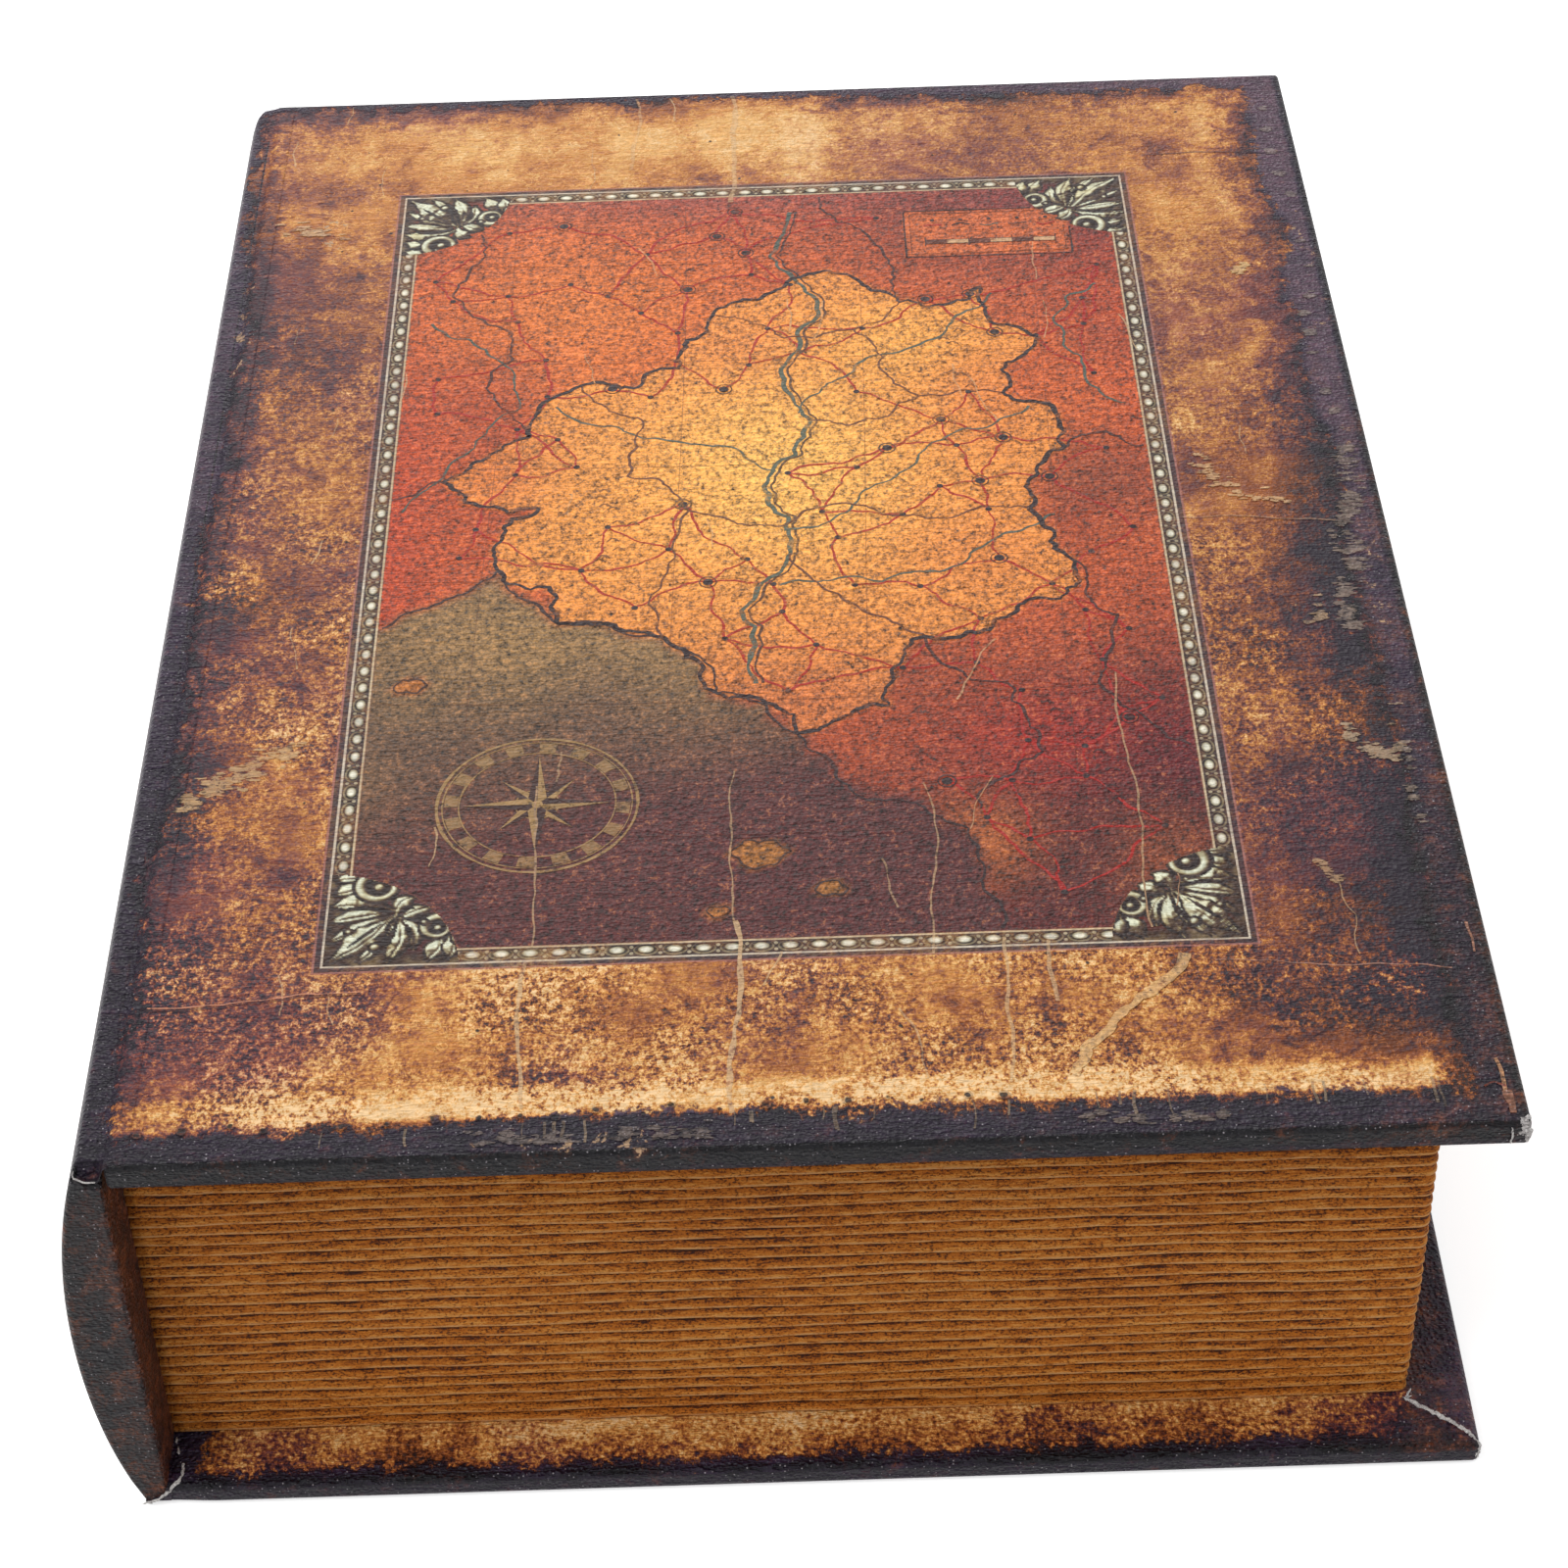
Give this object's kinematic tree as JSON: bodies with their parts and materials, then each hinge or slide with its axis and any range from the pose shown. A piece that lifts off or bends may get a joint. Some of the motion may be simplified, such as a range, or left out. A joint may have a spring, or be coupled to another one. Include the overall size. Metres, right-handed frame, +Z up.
{
  "type": "book-shaped storage box",
  "caption": "Hard box shaped like a thick antique book, with a rounded spine, ridged page edges round a lined tray, and an upper cover that opens on a leather-cloth joint.",
  "frame": {"origin": "centre of the closed box's footprint, on the face it stands on", "axes": "+X from the spine to the fore edge, +Y along the spine from the head to the tail, +Z up through the upper cover"},
  "size_m": [0.195, 0.27, 0.07],
  "materials": {
    "cover_leatherette": "printed and grained imitation leather, satin, antique mottling with near-black borders",
    "spine_leatherette": "grained imitation leather, satin, charcoal",
    "case_board": "medium-density fibreboard, sawn edges",
    "page_paper": "ridged paper printed golden brown, matt",
    "flock_lining": "short flock on paper, dark red-brown",
    "joint_cloth": "plain woven book cloth, near black",
    "magnet_nickel": "nickel plate"
  },
  "bodies": {
    "tray": {"bottom_board": "case_board", "bottom_skin": "cover_leatherette", "spine_core": "case_board", "spine_skin": "spine_leatherette", "head_wall": "case_board", "tail_wall": "case_board", "fore_edge_wall": "case_board", "spine_wall": "case_board", "tray_floor": "case_board", "page_strip": "page_paper", "head_lining": "flock_lining", "tail_lining": "flock_lining", "fore_edge_lining": "flock_lining", "spine_lining": "flock_lining", "floor_lining": "flock_lining", "tray_magnets": "magnet_nickel", "hinge_skin": "cover_leatherette", "hinge_cloth": "joint_cloth"},
    "lid": {"lid_board": "case_board", "lid_skin": "cover_leatherette", "lid_lining": "flock_lining", "lid_hinge_cloth": "joint_cloth", "lid_magnets": "magnet_nickel"}
  },
  "joints": [
    {"name": "lid_hinge", "type": "hinge", "parent": "tray", "child": "lid", "pos_m": [-0.0884, 0, 0.07], "axis": [0, -1, 0], "range_deg": [0, 180]}
  ]
}
